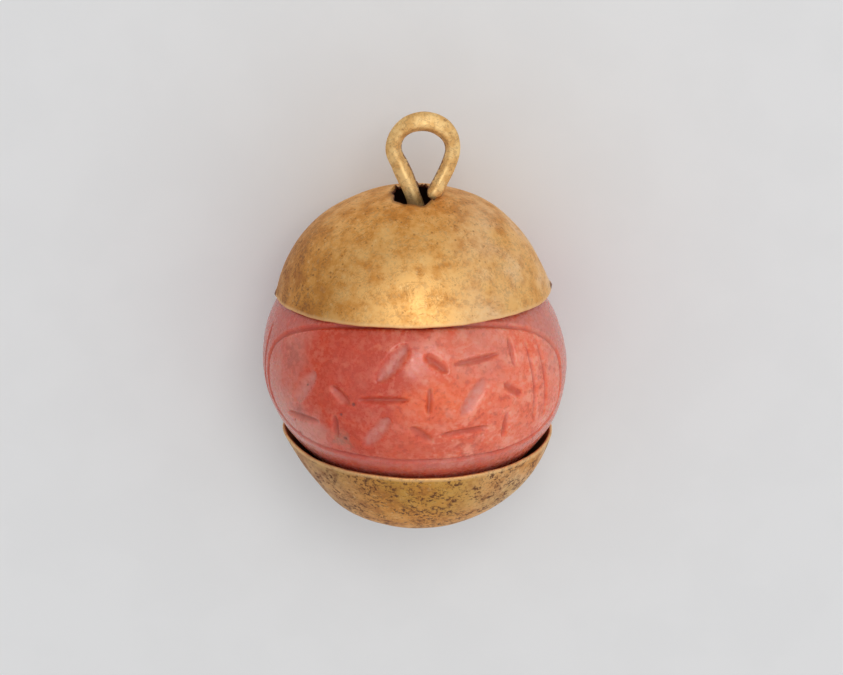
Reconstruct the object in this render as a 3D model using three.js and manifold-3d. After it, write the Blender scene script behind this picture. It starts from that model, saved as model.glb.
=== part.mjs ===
// An ancient bead pendant: an engraved carnelian ball bead between two bowl-shaped caps of sheet
// gold, threaded on a gold wire whose upper end is bent round into a suspension loop.
// Millimetres, +Z up. The bead lies on its side: the threading axis runs along +Y to the loop, and
// the engraved panel faces up. The origin is the middle of the flat spot that the bead lies on.

import * as THREE from 'three';
import { mergeVertices } from 'three/addons/utils/BufferGeometryUtils.js';
import Module from 'manifold-3d';

const { degToRad, lerp, smoothstep } = THREE.MathUtils;

// Bead, a slightly flattened ball whose own axis leans from the bore
const beadRadius = 9.5;
const beadHalfLength = 8.15;
const beadLean = degToRad(8);
const restFlatDepth = 0.19;
const boreClearance = 0.2;

// Engraved frame round the panel, as heights along the bore and longitudes round it
const frameMiddle = 0.55;
const frameHalfHeight = 4.2;
const frameHalfSpan = degToRad(72);
const frameUpperFullness = 2.35;
const frameLowerFullness = 4;
const frameLineWidth = 0.32;
const frameLineDepth = 0.2;
const endBarLongitudes = [degToRad(-77), degToRad(51), degToRad(58)];
const endBarHalfHeight = 2.6;

// Rows of cut strokes inside the frame
const rowCount = 3;
const rowPitch = 2.2;
const strokesPerRow = 6;
const bareStrokes = [0, 0, 2];
const strokePitch = degToRad(17);
const rowMiddle = degToRad(-6);
const rowStagger = degToRad(3);
const kindStepsPerRow = 2;
const strokeDepth = 0.28;
const strokeLengths = [3.2, 1.7, 2.8, 1.7];
const strokeWidths = [0.55, 0.5, 1.1, 0.7];
const strokeTurns = [degToRad(4), degToRad(86), degToRad(52), degToRad(-38)];

// Sheet gold caps, with levels counted along the bore from the middle of the bead
const sheetThickness = 0.2;
const upperRimLevel = 4.58;
const upperRimGap = 0.45;
const upperCrownGap = 2.63;
const upperBelly = 0.35;
const upperFullness = 2.2;
const upperSway = -0.12;
const upperTilt = degToRad(1.7);
const upperRoll = degToRad(1);
const lowerRimLevel = 4.46;
const lowerRimGap = 0.27;
const lowerCrownGap = 2.43;
const lowerBelly = 0.65;
const lowerFullness = 2.0;
const lowerSway = 0.12;
const lowerTilt = degToRad(-3.3);
const lowerRoll = degToRad(-0.8);
const lowerShift = 0.25;

// Gold wire of nearly square section, thinner towards its free end
const wireThickness = 1.06;
const wireEndThickness = 0.78;
const wireSquareness = 3.5;
const wireEdgeTurn = degToRad(75);
const wireTaperStart = 0.45;
const wireTipRounding = 0.6;
const wireTipDoming = 0.8;

// Suspension loop, placed from the crown of the upper cap
const loopRadius = 1.73;
const loopRise = 2.75;
const loopOffset = 0.52;
const loopStartTurn = degToRad(185);
const loopEndTurn = degToRad(-5);
const boundLegSides = [0.08, -0.15, -0.42, -0.89];
const boundLegRises = [-1.05, -0.06, 0.65, 1.64];
const freeLegSides = [2.06, 1.62, 0.99];
const freeLegRises = [1.65, 0.78, -0.2];
const freeLegForwards = [0.1, 0.35, 0.9];

// Torn hole in the upper cap, plain hole and peened wire end at the lower one
const tornHoleSide = 0.15;
const tornHoleForward = 0.8;
const tornHoleHalfWidth = 1.45;
const tornHoleHalfLength = 1.9;
const tornHoleRaggedness = 0.07;
const tornHoleWaves = 5;
const tornHoleRipples = 9;
const tornHoleRippleShare = 0.6;
const tornHoleTurn = 1;
const wireHoleClearance = 0.12;
const wireHeadOverlap = 0.25;
const wireHeadThickness = 0.22;
const wireHeadSeatGap = 0.06;

// Facet counts
const beadSlices = 44;
const beadStacks = 28;
const frameSteps = 48;
const grooveSides = 5;
const capSlices = 36;
const capSteps = 8;
const wireSides = 8;
const shankSteps = 10;
const loopSteps = 46;
const tornHolePoints = 22;
const strokePoints = 5;
const loopPoints = 7;
const roundSides = 20;

// Vertices closer than this are one
const weldDistance = 1e-5;

const wasm = await Module();
wasm.setup();

// Worked-out sizes
const beadCentreHeight = beadRadius - restFlatDepth;
const wireCornerReach = (wireThickness / 2) * 2 ** (0.5 - 1 / wireSquareness);
const boreRadius = wireCornerReach + boreClearance;
const wireHoleRadius = wireCornerReach + wireHoleClearance;
const wireHeadRadius = wireHoleRadius + wireHeadOverlap;
const upperCap = capShape(upperRimLevel, upperRimGap, upperCrownGap, upperBelly, upperFullness);
const lowerCap = capShape(lowerRimLevel, lowerRimGap, lowerCrownGap, lowerBelly, lowerFullness);
const upperSeat = seat(new THREE.Vector3(0, 0, 0), -upperTilt, upperRoll);
const lowerSeat = seat(new THREE.Vector3(lowerShift, 0, 0), -lowerTilt, lowerRoll);

// Moves every vertex of a geometry to the place worked out for it
function reshape(geometry, place) {
  const position = geometry.attributes.position;
  const vertex = new THREE.Vector3();
  for (let i = 0; i < position.count; i += 1) {
    const moved = place(vertex.fromBufferAttribute(position, i));
    position.setXYZ(i, moved.x, moved.y, moved.z);
  }
  return geometry;
}

// Turns a closed geometry into a solid, without the empty triangles of its poles
function solid(geometry) {
  geometry.deleteAttribute('normal');
  geometry.deleteAttribute('uv');
  const merged = mergeVertices(geometry, weldDistance);
  const kept = [];
  for (let i = 0; i < merged.index.count; i += 3) {
    const [a, b, c] = [0, 1, 2].map((k) => merged.index.getX(i + k));
    if (a !== b && b !== c && c !== a) kept.push(a, b, c);
  }
  const vertProperties = new Float32Array(merged.attributes.position.array);
  return new wasm.Manifold(new wasm.Mesh({ numProp: 3, vertProperties, triVerts: new Uint32Array(kept) }));
}

function geometryOf(manifold) {
  const { vertProperties, triVerts } = manifold.getMesh();
  const geometry = new THREE.BufferGeometry();
  geometry.setAttribute('position', new THREE.BufferAttribute(vertProperties, 3));
  geometry.setIndex(new THREE.BufferAttribute(triVerts, 1));
  geometry.computeVertexNormals();
  return geometry;
}

// Where a cap sits: shifted, then turned about the middle of the bead
function seat(shift, turnX, turnZ) {
  const place = new THREE.Group();
  place.rotation.set(turnX, 0, turnZ, 'ZYX');
  place.position.copy(shift);
  place.updateMatrix();
  return place;
}

// Bead

// Radius of the bead, measured square to its own axis
function beadRadiusAt(level) {
  return beadRadius * Math.sqrt(1 - (level / beadHalfLength) ** 2);
}

// Point of the leaning bead's surface at a longitude round the bore and a height along it
function beadSurface(longitude, height) {
  const sin = Math.sin(beadLean);
  const cos = Math.cos(beadLean);
  const across = Math.sin(longitude);
  const wide = 1 / beadRadius ** 2;
  const long = 1 / beadHalfLength ** 2;
  const a = ((across * cos) ** 2 + Math.cos(longitude) ** 2) * wide + (across * sin) ** 2 * long;
  const b = 2 * across * height * sin * cos * (long - wide);
  const c = height ** 2 * (sin ** 2 * wide + cos ** 2 * long) - 1;
  const reach = (-b + Math.sqrt(b * b - 4 * a * c)) / (2 * a);
  return new THREE.Vector3(across * reach, height, Math.cos(longitude) * reach);
}

// Direction out of the leaning bead's surface
function beadNormal(point) {
  const lean = new THREE.Matrix4().makeRotationZ(-beadLean);
  const own = point.clone().applyMatrix4(lean.clone().transpose());
  own.set(own.x / beadRadius ** 2, own.y / beadHalfLength ** 2, own.z / beadRadius ** 2);
  return own.applyMatrix4(lean).normalize();
}

// Place of a groove's vertex: along its curve, across it, and in or out of the bead
function besideCurve(curve, share, across, out) {
  const middle = curve.getPointAt(share);
  const normal = beadNormal(middle);
  const side = new THREE.Vector3().crossVectors(curve.getTangentAt(share), normal).normalize();
  return middle.addScaledVector(side, across).addScaledVector(normal, out);
}

// Boat-shaped groove that thins out to both ends of an open curve
function strokeCutter(curve, width, depth) {
  const boat = new THREE.SphereGeometry(1, grooveSides, grooveSides + 2);
  return solid(reshape(boat, (v) => (
    besideCurve(curve, (v.y + 1) / 2, (v.x * width) / 2, v.z * depth)
  )));
}

// Even groove along a closed curve
function ringCutter(curve, width, depth) {
  const ringRadius = 2;
  const ring = new THREE.TorusGeometry(ringRadius, 1, grooveSides, frameSteps);
  return solid(reshape(ring, (v) => {
    const share = (Math.atan2(v.y, v.x) / (2 * Math.PI) + 1) % 1;
    return besideCurve(curve, share, ((Math.hypot(v.x, v.y) - ringRadius) * width) / 2, v.z * depth);
  }));
}

// The frame is a rounded oblong that runs most of the way round the side that shows, squarer below
function frameCurve() {
  const points = [];
  for (let i = 0; i < frameSteps; i += 1) {
    const turn = (i / frameSteps) * 2 * Math.PI;
    const fullness = Math.sin(turn) > 0 ? frameUpperFullness : frameLowerFullness;
    const round = (value) => Math.sign(value) * Math.abs(value) ** (2 / fullness);
    points.push(beadSurface(frameHalfSpan * round(Math.cos(turn)),
      frameMiddle + frameHalfHeight * round(Math.sin(turn))));
  }
  return new THREE.CatmullRomCurve3(points, true);
}

// Short curve on the bead: a length in mm, turned from the direction of the rows
function strokeCurve(longitude, height, length, turn) {
  const girth = beadRadiusAt(height);
  const points = [];
  for (let i = 0; i < strokePoints; i += 1) {
    const along = length * (i / (strokePoints - 1) - 0.5);
    points.push(beadSurface(longitude + (along * Math.cos(turn)) / girth, height + along * Math.sin(turn)));
  }
  return new THREE.CatmullRomCurve3(points);
}

function engravingCutters() {
  const cutters = [ringCutter(frameCurve(), frameLineWidth, frameLineDepth)];
  for (const longitude of endBarLongitudes) {
    const bar = strokeCurve(longitude, frameMiddle, 2 * endBarHalfHeight, Math.PI / 2);
    cutters.push(strokeCutter(bar, frameLineWidth, frameLineDepth));
  }
  for (let row = 0; row < rowCount; row += 1) {
    const height = frameMiddle + (row - (rowCount - 1) / 2) * rowPitch;
    for (let i = bareStrokes[row]; i < strokesPerRow; i += 1) {
      const kind = (i + kindStepsPerRow * row) % strokeLengths.length;
      const longitude = rowMiddle + (i - (strokesPerRow - 1) / 2) * strokePitch + row * rowStagger;
      const curve = strokeCurve(longitude, height, strokeLengths[kind], strokeTurns[kind]);
      cutters.push(strokeCutter(curve, strokeWidths[kind], strokeDepth));
    }
  }
  return cutters;
}

function beadGeometry() {
  const ball = new THREE.SphereGeometry(1, beadSlices, beadStacks);
  ball.scale(beadRadius, beadHalfLength, beadRadius);
  ball.rotateZ(-beadLean);
  const bore = new THREE.CylinderGeometry(boreRadius, boreRadius, 4 * beadHalfLength, roundSides);
  const below = new THREE.BoxGeometry(4 * beadRadius, 4 * beadRadius, 2 * beadRadius);
  below.translate(0, 0, -beadCentreHeight - beadRadius);
  let bead = solid(ball).subtract(solid(bore)).subtract(solid(below));
  for (const cutter of engravingCutters()) bead = bead.subtract(cutter);
  return geometryOf(bead);
}

// Caps

// A cap's sizes: the rim clears the bead all round, and the crown stands off its end
function capShape(rimLevel, rimGap, crownGap, belly, fullness) {
  const rimRadius = beadRadiusAt(rimLevel) + rimGap + sheetThickness;
  const bellyRadius = rimRadius + belly;
  const crownLevel = beadHalfLength + crownGap + sheetThickness;
  const rimShare = Math.sqrt(1 - (rimRadius / bellyRadius) ** fullness);
  const middleLevel = (rimLevel - rimShare * crownLevel) / (1 - rimShare);
  return { rimLevel, crownLevel, bellyRadius, middleLevel, fullness };
}

// Half outline of one side of the sheet, from the rim to the crown
function capOutline(shape, inset) {
  const reach = shape.crownLevel - shape.middleLevel - inset;
  const start = Math.asin((shape.rimLevel - shape.middleLevel) / reach);
  const points = [];
  for (let i = 0; i <= capSteps; i += 1) {
    const turn = start + (Math.PI / 2 - start) * (i / capSteps);
    const radius = (shape.bellyRadius - inset) * Math.max(0, Math.cos(turn)) ** (2 / shape.fullness);
    const onAxis = i === capSteps;
    points.push(new THREE.Vector2(onAxis ? 0 : radius, shape.middleLevel + reach * Math.sin(turn)));
  }
  return points;
}

// A bowl of even sheet whose wall sways a little to one side between rim and crown
function bowl(shape, sway) {
  const outside = capOutline(shape, 0);
  const inside = capOutline(shape, sheetThickness).reverse();
  const sheet = new THREE.LatheGeometry([...outside, ...inside, outside[0]], capSlices);
  const height = shape.crownLevel - shape.rimLevel;
  return solid(reshape(sheet, (v) => {
    const share = (v.y - shape.rimLevel) / height;
    v.x += sway * Math.sin(Math.PI * Math.min(1, Math.max(0, share)));
    return v;
  }));
}

// The upper cap's hole is torn, so its edge wanders in and out
function upperCapGeometry() {
  const edge = [];
  for (let i = 0; i < tornHolePoints; i += 1) {
    const turn = (i / tornHolePoints) * 2 * Math.PI;
    const ripple = tornHoleRippleShare * Math.sin(tornHoleRipples * turn);
    const wander = 1 + tornHoleRaggedness * (Math.sin(tornHoleWaves * turn + tornHoleTurn) + ripple);
    edge.push(new THREE.Vector2(tornHoleSide + tornHoleHalfWidth * wander * Math.cos(turn),
      -tornHoleForward + tornHoleHalfLength * wander * Math.sin(turn)));
  }
  const depth = upperCap.crownLevel;
  const punch = new THREE.ExtrudeGeometry(new THREE.Shape(edge), { depth, bevelEnabled: false });
  punch.rotateX(-Math.PI / 2);
  punch.translate(0, beadHalfLength, 0);
  return geometryOf(bowl(upperCap, upperSway).subtract(solid(punch)));
}

function lowerCapGeometry() {
  const punch = new THREE.CylinderGeometry(wireHoleRadius, wireHoleRadius, lowerCap.crownLevel, roundSides);
  punch.translate(0, lowerCap.crownLevel, 0);
  const cap = geometryOf(bowl(lowerCap, lowerSway).subtract(solid(punch)));
  cap.rotateX(Math.PI);
  return cap;
}

// Wire

// The wire's middle line, from its peened end through the bead and round the loop to its tip
function wireCurve() {
  const crown = upperCap.crownLevel;
  const onLowerAxis = (level) => new THREE.Vector3(0, -level, 0).applyMatrix4(lowerSeat.matrix);
  const points = [
    onLowerAxis(lowerCap.crownLevel + wireHeadSeatGap),
    onLowerAxis(lowerCap.crownLevel - lowerCrownGap / 2),
    new THREE.Vector3(0, -beadHalfLength + lowerCrownGap / 2, 0),
    new THREE.Vector3(0, beadHalfLength - upperCrownGap / 2, 0),
  ];
  boundLegSides.forEach((side, i) => {
    points.push(new THREE.Vector3(side, crown + boundLegRises[i], 0));
  });
  const loopCentre = new THREE.Vector3(loopOffset, crown + loopRise, 0);
  for (let i = 0; i < loopPoints; i += 1) {
    const turn = lerp(loopStartTurn, loopEndTurn, i / (loopPoints - 1));
    const around = new THREE.Vector3(Math.cos(turn), Math.sin(turn), 0);
    points.push(loopCentre.clone().addScaledVector(around, loopRadius));
  }
  freeLegSides.forEach((side, i) => {
    points.push(new THREE.Vector3(side, crown + freeLegRises[i], freeLegForwards[i]));
  });
  return new THREE.CatmullRomCurve3(points, false, 'centripetal');
}

// Share of the wire's length at which the loop's first leg leaves the bore
function shankShare(curve) {
  const length = curve.getLength();
  return (lowerCap.crownLevel + upperCap.crownLevel + boundLegRises[0]) / length;
}

// Half thickness of the wire at a share of its length, in a direction of its section
function wireReach(share, turn, shank, length) {
  const taper = smoothstep(share, lerp(shank, 1, wireTaperStart), 1);
  const flat = lerp(wireThickness, wireEndThickness, taper) / 2;
  const intoTip = Math.max(0, 1 - ((1 - share) * length) / wireTipRounding);
  const rounding = Math.sqrt(1 - wireTipDoming * intoTip ** 2);
  const corner = turn - wireEdgeTurn - Math.PI / 4;
  const square = (Math.abs(Math.cos(corner)) ** wireSquareness
    + Math.abs(Math.sin(corner)) ** wireSquareness) ** (-1 / wireSquareness);
  return flat * square * rounding;
}

function wireGeometry() {
  const curve = wireCurve();
  const length = curve.getLength();
  const shank = shankShare(curve);
  const steps = shankSteps + loopSteps;
  const rod = new THREE.CylinderGeometry(1, 1, steps, wireSides, steps);
  const forward = new THREE.Vector3(0, 0, 1);
  reshape(rod, (v) => {
    const step = Math.round(v.y + steps / 2);
    const share = step < shankSteps ? (shank * step) / shankSteps
      : lerp(shank, 1, (step - shankSteps) / loopSteps);
    const inward = new THREE.Vector3().crossVectors(curve.getTangentAt(share), forward).normalize();
    const front = new THREE.Vector3().crossVectors(inward, curve.getTangentAt(share));
    const turn = Math.atan2(v.z, v.x) + wireEdgeTurn;
    const reach = Math.hypot(v.x, v.z) * wireReach(share, turn, shank, length);
    return curve.getPointAt(share)
      .addScaledVector(inward, reach * Math.cos(turn))
      .addScaledVector(front, reach * Math.sin(turn));
  });
  const head = new THREE.CylinderGeometry(wireHeadRadius, wireHeadRadius, wireHeadThickness, roundSides);
  head.translate(0, -lowerCap.crownLevel - wireHeadSeatGap - wireHeadThickness / 2, 0);
  head.applyMatrix4(lowerSeat.matrix);
  return geometryOf(solid(rod).add(solid(head)));
}

// Materials
const carnelian = new THREE.MeshStandardMaterial({ color: 0xc4503c, roughness: 0.38, metalness: 0 });
const sheetGold = new THREE.MeshStandardMaterial({ color: 0xc4924e, roughness: 0.45, metalness: 1 });
const wireGold = new THREE.MeshStandardMaterial({ color: 0xcfa053, roughness: 0.38, metalness: 1 });

// Pieces
function piece(name, geometry, material) {
  const mesh = new THREE.Mesh(geometry, material);
  mesh.name = name;
  return mesh;
}

upperSeat.add(piece('upper_cap', upperCapGeometry(), sheetGold));
lowerSeat.add(piece('lower_cap', lowerCapGeometry(), sheetGold));
const pendant = new THREE.Group();
pendant.position.z = beadCentreHeight;
pendant.add(piece('bead', beadGeometry(), carnelian));
pendant.add(upperSeat, lowerSeat);
pendant.add(piece('suspension_wire', wireGeometry(), wireGold));

const model = new THREE.Group();
model.add(pendant);

export default model;
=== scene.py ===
"""Looks of an ancient bead pendant: an engraved carnelian ball between two bowl-shaped caps of sheet gold,
on a gold wire that ends in a suspension loop. Laid out as an add-on: one operator makes each piece."""
import math

import bpy
import numpy as np
from bpy.props import FloatProperty, FloatVectorProperty, IntProperty, PointerProperty
from mathutils import Euler, Matrix, Vector


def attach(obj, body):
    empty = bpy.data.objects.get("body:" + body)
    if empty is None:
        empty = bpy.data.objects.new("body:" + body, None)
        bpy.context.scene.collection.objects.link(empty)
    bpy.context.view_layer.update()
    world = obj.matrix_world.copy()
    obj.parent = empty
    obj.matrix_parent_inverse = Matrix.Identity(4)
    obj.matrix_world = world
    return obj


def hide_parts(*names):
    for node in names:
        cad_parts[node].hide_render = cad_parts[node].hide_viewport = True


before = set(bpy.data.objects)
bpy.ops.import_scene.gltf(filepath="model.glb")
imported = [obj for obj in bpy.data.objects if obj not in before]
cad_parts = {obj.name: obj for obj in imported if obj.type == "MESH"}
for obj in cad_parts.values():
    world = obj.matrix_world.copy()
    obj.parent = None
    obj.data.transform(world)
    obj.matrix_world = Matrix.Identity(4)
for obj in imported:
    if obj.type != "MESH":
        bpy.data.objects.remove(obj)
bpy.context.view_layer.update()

bl_info = {
    "name": "Bead pendant",
    "version": (1, 0, 0),
    "blender": (4, 5, 0),
    "location": "3D View > Sidebar > Pendant",
    "description": "Makes an engraved carnelian bead between two sheet gold caps, on a gold wire",
    "category": "Object",
}

MM = 0.001
BODY = "root"

# Bead, a slightly flattened ball whose own axis leans from the bore
FLAT_SPOT_DEPTH = 0.19 * MM
BORE_CLEARANCE = 0.2 * MM
BEAD_BUMPS = 0.022 * MM

# Engraved frame round the panel, as heights along the bore and longitudes round it
FRAME_MIDDLE = 0.55 * MM
FRAME_HALF_HEIGHT = 4.2 * MM
FRAME_HALF_SPAN = math.radians(72)
FRAME_UPPER_FULLNESS = 2.35
FRAME_LOWER_FULLNESS = 4
FRAME_FADE = 0.12
FRAME_POINTS = 4001
FRAME_PARTS = 40
FRAME_WEAR = 0.15
FRAME_WEAR_TURNS = 22 * math.pi
END_BAR_LONGITUDES = [math.radians(a) for a in (-77, 51, 58)]
END_BAR_HALF_HEIGHT = 2.6 * MM

# Rows of cut strokes inside the frame
ROW_COUNT = 3
ROW_PITCH = 2.2 * MM
STROKES_PER_ROW = 6
BARE_STROKES = [0, 0, 2]
STROKE_PITCH = math.radians(17)
ROW_MIDDLE = math.radians(-6)
ROW_STAGGER = math.radians(3)
KIND_STEPS_PER_ROW = 2
STROKE_LENGTHS = [3.2 * MM, 1.7 * MM, 2.8 * MM, 1.7 * MM]
STROKE_WIDTHS = [0.55 * MM, 0.5 * MM, 1.1 * MM, 0.7 * MM]
BROAD_STROKE = 0.9 * MM
STROKE_TURNS = [math.radians(a) for a in (4, 86, 52, -38)]
GROOVE_STEP = 0.05 * MM
WORN_EDGE = 1.3
STROKE_POINTS = 9
STROKE_FULLNESS = 3
STROKE_END_SHARE = 0.02

# Worn pits that show most, as longitude, height, radius
CLEAR_PITS = [
    (math.radians(-23.1), 0.10 * MM, 0.17 * MM),
    (math.radians(-28.3), -0.69 * MM, 0.14 * MM),
    (math.radians(-54.1), -3.0 * MM, 0.17 * MM),
    (math.radians(-45.4), 0.60 * MM, 0.12 * MM),
    (math.radians(-28.0), -2.37 * MM, 0.2 * MM),
    (math.radians(-54.1), -2.09 * MM, 0.11 * MM),
]
CLEAR_PIT_DEPTH = 0.1 * MM

# Grid of the bead: fine where the band shows
BAND_HALF_HEIGHT = 4.8 * MM
BAND_ROWS = 156
END_ROWS = 18
BORE_ROWS = 6
FRONT_HALF_SPAN = math.radians(96)
FRONT_COLUMNS = 400
BACK_COLUMNS = 72
EDGE_PASSES = 8
BORE_MARGIN = 2 * MM

# Caps
CAP_COLUMNS = 320
CAP_ROWS = 64
EDGE_ROWS = 5
OUTLINE_POINTS = 900
RIM_MARGIN = 0.5 * MM
RIM_WAVES = [(7, 0.015 * MM, 2.1), (16, 0.01 * MM, 4.0), (41, 0.006 * MM, 1.0)]
UPPER_RIM_DROOP = 0.2 * MM
LOWER_RIM_DIP = 0.12 * MM

# Swellings of the walls, as bearing, level, half width, half height and size
UPPER_SWELLINGS = [
    (math.radians(88), 9.6 * MM, 0.7, 1.0 * MM, 0.1 * MM),
    (math.radians(-85), 10.2 * MM, 0.8, 0.8 * MM, -0.1 * MM),
    (math.radians(88), 8.0 * MM, 0.7, 1.6 * MM, 0.09 * MM),
    (math.radians(-88), 4.5 * MM, 0.05, 0.22 * MM, 0.1 * MM),
    (math.radians(90), 4.7 * MM, 0.03, 0.2 * MM, 0.13 * MM),
]
LOWER_SWELLINGS = [
    (math.radians(88), 7.2 * MM, 0.6, 2.0 * MM, 0.12 * MM),
    (math.radians(-80), 9.0 * MM, 0.8, 1.2 * MM, 0.2 * MM),
    (math.radians(-88), 4.5 * MM, 0.2, 0.5 * MM, 0.1 * MM),
]

# Dark tips of the upper rim's burrs, as place from the middle of the bead and reach
BURR_TIPS = [
    ((-8.75 * MM, 4.35 * MM, 0.3 * MM), 0.3 * MM),
    ((8.5 * MM, 4.8 * MM, 0.0), 0.26 * MM),
]
BURR_FADE = 0.12 * MM

# Torn hole in the upper cap
TORN_HOLE_SIDE = 0.15 * MM
TORN_HOLE_FORWARD = 0.8 * MM
TORN_HOLE_HALF_WIDTH = 1.45 * MM
TORN_HOLE_HALF_LENGTH = 1.9 * MM
TORN_HOLE_RAGGEDNESS = 0.045
TORN_HOLE_WAVES = 5
TORN_HOLE_RIPPLES = 9
TORN_HOLE_RIPPLE_SHARE = 0.6
TORN_HOLE_TURN = 1.0
TORN_HOLE_FRAY = [(23, 0.01 * MM, 0.4), (37, 0.008 * MM, 2.2)]
TORN_HOLE_TRIMS = [
    (math.radians(-50), -0.2 * MM, math.radians(35)),
    (math.radians(0), -0.2 * MM, math.radians(30)),
    (math.radians(-100), -0.12 * MM, math.radians(25)),
]

# Torn tongues of sheet that stand up round the hole, as direction, height and half width
TONGUES = [
    (math.radians(-116), 0.24 * MM, math.radians(10)),
    (math.radians(167), 0.24 * MM, math.radians(4)),
    (math.radians(150), 0.1 * MM, math.radians(4)),
    (math.radians(138), 0.14 * MM, math.radians(5)),
    (math.radians(31), 0.16 * MM, math.radians(4)),
]
TONGUE_ROOT = 0.2 * MM
TORN_HOLE_POINTS = 1440

# Wire
WIRE_SQUARENESS = 3.5
WIRE_CORNER_SHARE = 0.3
WIRE_EDGE_TURN = math.radians(75)
WIRE_INNER_BEARING = math.radians(135)
WIRE_TIP_ROUNDING = 0.6 * MM
WIRE_TIP_DOMING = 0.8
WIRE_HOLE_CLEARANCE = 0.12 * MM
WIRE_HEAD_OVERLAP = 0.25 * MM
WIRE_HEAD_THICKNESS = 0.22 * MM
WIRE_HEAD_SEAT_GAP = 0.06 * MM
WIRE_HEAD_COLUMNS = 48
WIRE_HEAD_RADII = [0.0, 0.6, 0.94, 1.0, 0.97, 0.86, 0.6, 0.3, 0.0]
WIRE_HEAD_LEVELS = [0.0, 0.0, 0.03, 0.3, 0.66, 0.88, 0.97, 1.0, 1.0]
WIRE_STEP = 0.1 * MM
SPLINE_STEPS = 24
THICKNESS_POINTS = 400
THICKNESS_SOFTENING = 13

# Suspension loop, placed from the crown of the upper cap
LOOP_HALF_WIDTH = 1.82 * MM
LOOP_HALF_HEIGHT = 1.7 * MM
LOOP_RISE = 2.75 * MM
LOOP_OFFSET = 0.52 * MM
LOOP_START_TURN = math.radians(185)
LOOP_END_TURN = math.radians(-5)
LOOP_POINTS = 7
BOUND_LEG_SIDES = [0.08 * MM, -0.15 * MM, -0.42 * MM, -0.89 * MM]
BOUND_LEG_RISES = [-1.05 * MM, -0.06 * MM, 0.65 * MM, 1.64 * MM]
BOUND_LEG_FORWARDS = [0.15 * MM, 0.5 * MM, 0.4 * MM, 0.12 * MM]
FREE_LEG_SIDES = [2.06 * MM, 1.62 * MM, 0.99 * MM]
FREE_LEG_RISES = [1.65 * MM, 0.78 * MM, -0.2 * MM]
FREE_LEG_FORWARDS = [0.1 * MM, 0.35 * MM, 0.9 * MM]

# How thick hammering left the wire, as distance past the shank and share of the full thickness
HAMMERED_THICKNESS = [
    (0.0, 1.0), (0.7 * MM, 0.74), (1.4 * MM, 0.78), (2.4 * MM, 0.9), (3.9 * MM, 0.83), (5.2 * MM, 0.78),
    (6.8 * MM, 1.05), (8.2 * MM, 1.06), (9.6 * MM, 0.78), (11.0 * MM, 0.76), (12.7 * MM, 0.76),
]

# Camera: the view down on the lying bead
PICTURE_WIDTH = 843
PIXELS_PER_METRE = 16040
CAMERA_DISTANCE = 0.3
CAMERA_TILT = math.radians(19)
AIM_RIGHT = 0.42 * MM
AIM_UP = 1.331 * MM
SENSOR_WIDTH = 36.0
NEAREST_SEEN = 0.01
FARTHEST_SEEN = 20

# Key light beside the camera, floor and pale room
KEY_DIRECTION = (0.1, 0.45, 0.89)
KEY_DISTANCE = 0.5
KEY_WIDTH = 0.19
KEY_COLOUR = (1, 0.97, 0.93)
FLOOR_HALF_WIDTH = 2.0
FLOOR_TOOTH = 6 * MM
ROOM_TINT = (0.985, 1.0, 1.03)
ROOM_DIM_SIDE = 0.32

# Colours of the sheet gold, besides those in its settings
ROSY_SHEEN_GOLD = (1.0, 0.78, 0.54)
BRIGHT_GRAIN = (0.98, 0.72, 0.36)
YELLOW_OCHRE = (0.68, 0.4, 0.09)
GREYISH_GOLD = (0.5, 0.34, 0.2)
SHADED_GOLD = (0.4, 0.17, 0.05)
REDDISH_BROWN = (0.44, 0.16, 0.045)
DARK_CRUST = (0.12, 0.045, 0.02)
RIM_EDGE_HIGHLIGHT = (0.97, 0.62, 0.3)
TORN_EDGE = (0.14, 0.05, 0.025)
BURR_MAROON = (0.16, 0.04, 0.025)
INNER_WALL_SHADE_AND_GLOW = (0.46, 0.2, 0.07)
DEEP_INSIDE_SHADE = (0.06, 0.025, 0.01)

# Colour of the wire's duller stretches
WIRE_OCHRE = (0.78, 0.45, 0.15)

# Colours of the stone, besides those in its settings
PAINTED_ORANGE_GLOW = (0.95, 0.2, 0.06)
LOWER_RED = (0.68, 0.105, 0.045)
CLEAR_BLOTCH = (0.8, 0.12, 0.04)
PALE_BLOTCH = (0.92, 0.34, 0.23)
PALE_MOTTLE = (0.88, 0.36, 0.24)
DARK_MOTTLE = (0.5, 0.06, 0.03)
PINK_FLECK = (0.92, 0.45, 0.33)
DULL_MAUVE = (0.52, 0.14, 0.115)
DARK_SMUDGE = (0.34, 0.075, 0.05)
BROWN_SOIL = (0.36, 0.19, 0.13)
CUT_RED_AND_SHADE = (0.5, 0.06, 0.04)
MILKY_PINK = (0.78, 0.31, 0.25)
PIT_BROWN = (0.2, 0.035, 0.025)

# Hazy places of the stone, as place from its middle, radius, fade and strength
HAZES = [
    ((-7.2 * MM, -2.6 * MM, 5.0 * MM), 2.6 * MM, 1.8 * MM, 0.85),
    ((-8.6 * MM, 0.4 * MM, 3.6 * MM), 1.6 * MM, 1.4 * MM, 0.6),
    ((-7.2 * MM, 2.6 * MM, 5.4 * MM), 1.1 * MM, 1.0 * MM, 0.45),
    ((8.6 * MM, 3.0 * MM, 2.2 * MM), 2.6 * MM, 2.0 * MM, 0.6),
    ((4.0 * MM, 3.6 * MM, 7.4 * MM), 2.2 * MM, 1.8 * MM, 0.5),
]


def length_property(title, description, default, low=0.0):
    return FloatProperty(name=title, description=description, default=default, min=low, precision=5,
                         unit="LENGTH")


def colour_property(title, description, default):
    return FloatVectorProperty(name=title, description=description, default=default, min=0.0, max=1.0,
                               subtype="COLOR")


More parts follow.
